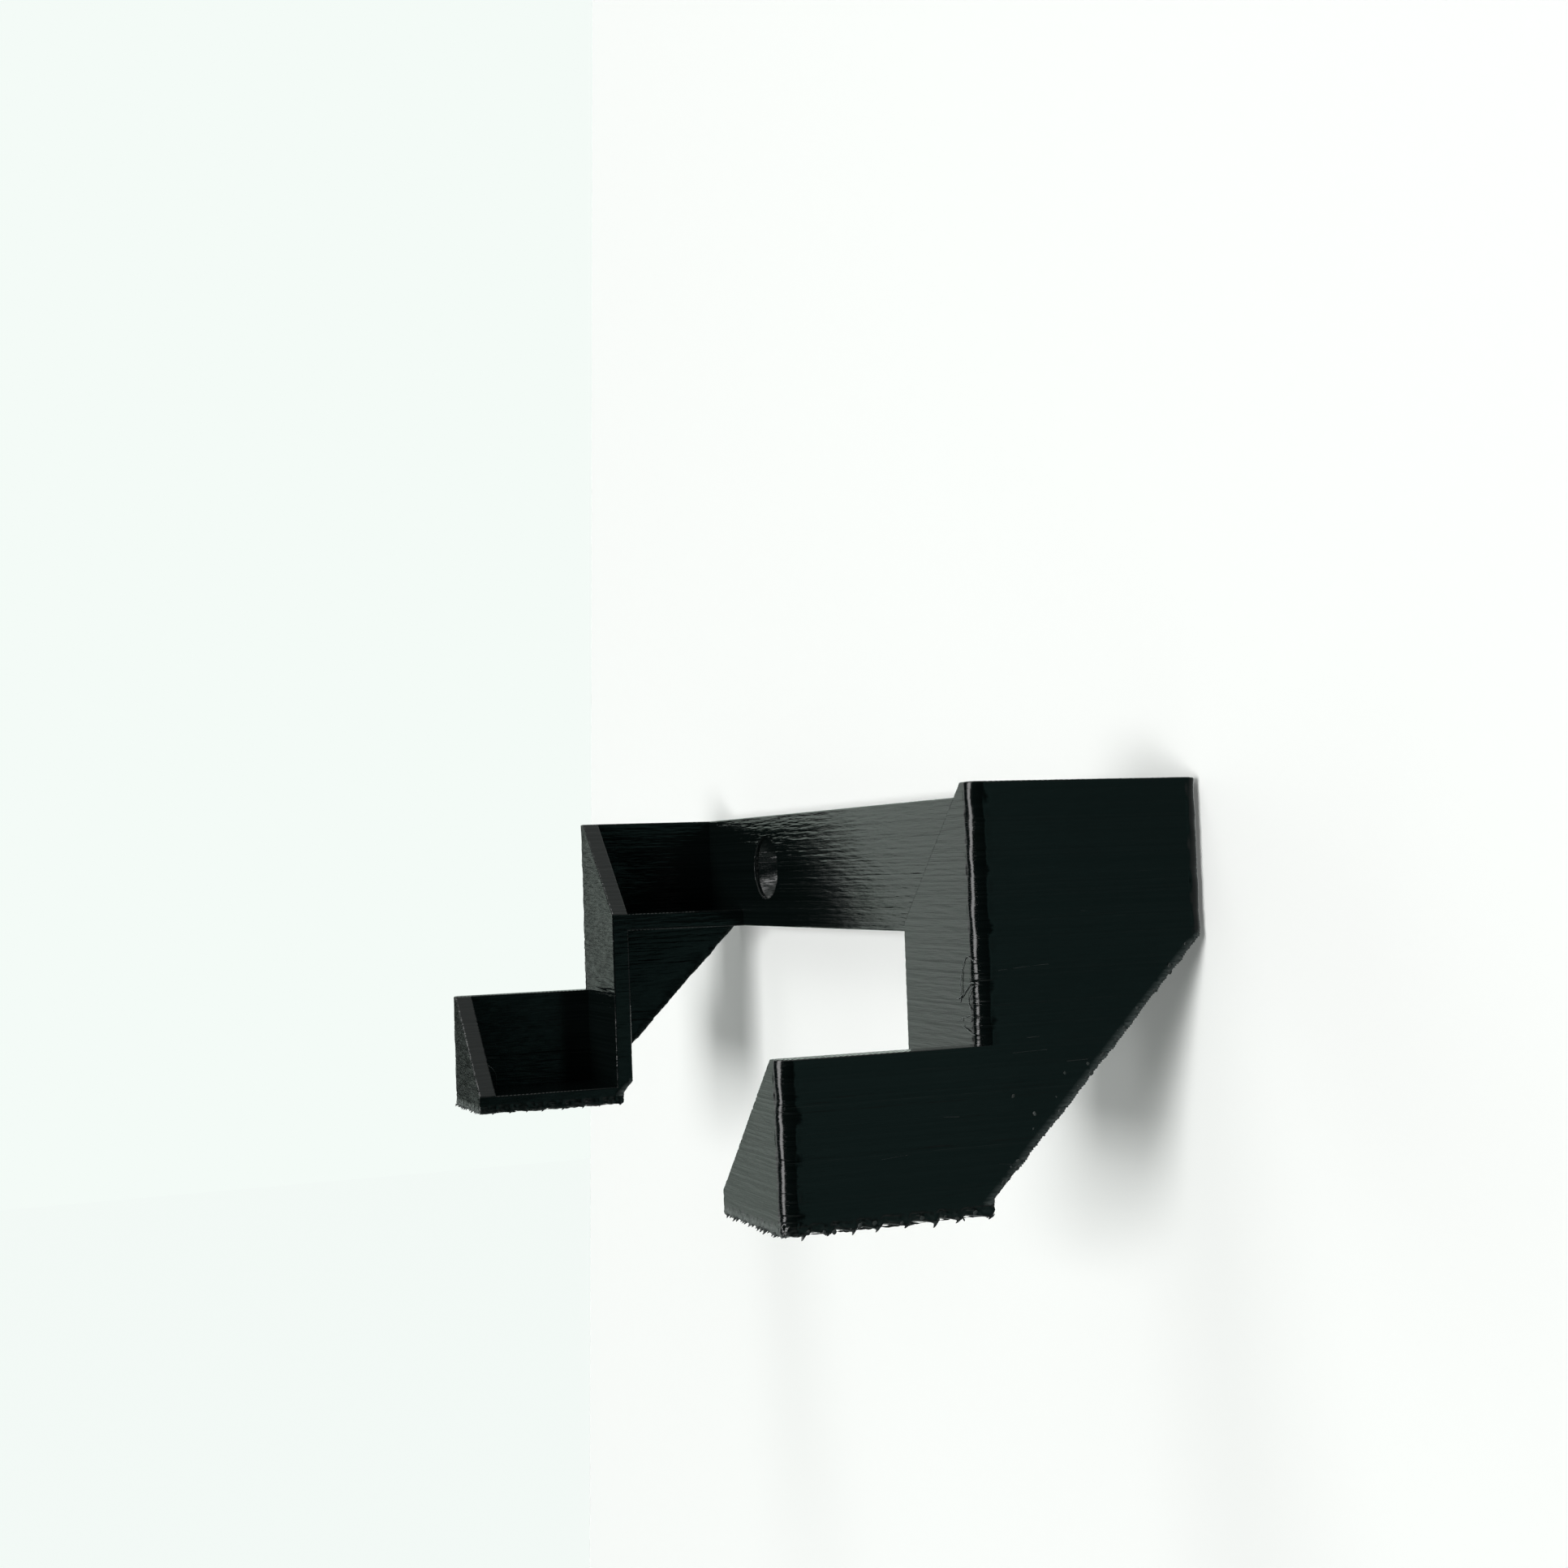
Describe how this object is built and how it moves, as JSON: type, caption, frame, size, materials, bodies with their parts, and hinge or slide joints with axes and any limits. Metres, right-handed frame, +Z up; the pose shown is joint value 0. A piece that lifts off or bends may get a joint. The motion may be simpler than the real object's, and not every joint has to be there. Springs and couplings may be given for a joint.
{
  "type": "game controller wall mount",
  "caption": "Printed wall bracket in stepped tiers: side panels with sloped lips and short floors cradle the ends of flat game controllers, on a back plate for screws.",
  "frame": {"origin": "centre of the flat rear face, midway between the two screw holes, where the mount meets the wall", "axes": "+X along the wall, +Y into the wall, +Z up; the two tiers step down towards -Y"},
  "size_m": [0.1316, 0.0458, 0.041],
  "materials": {
    "printed_plastic": "satin black printed plastic with fine horizontal layer lines"
  },
  "bodies": {
    "root": {"wall_mount": "printed_plastic"}
  },
  "joints": []
}
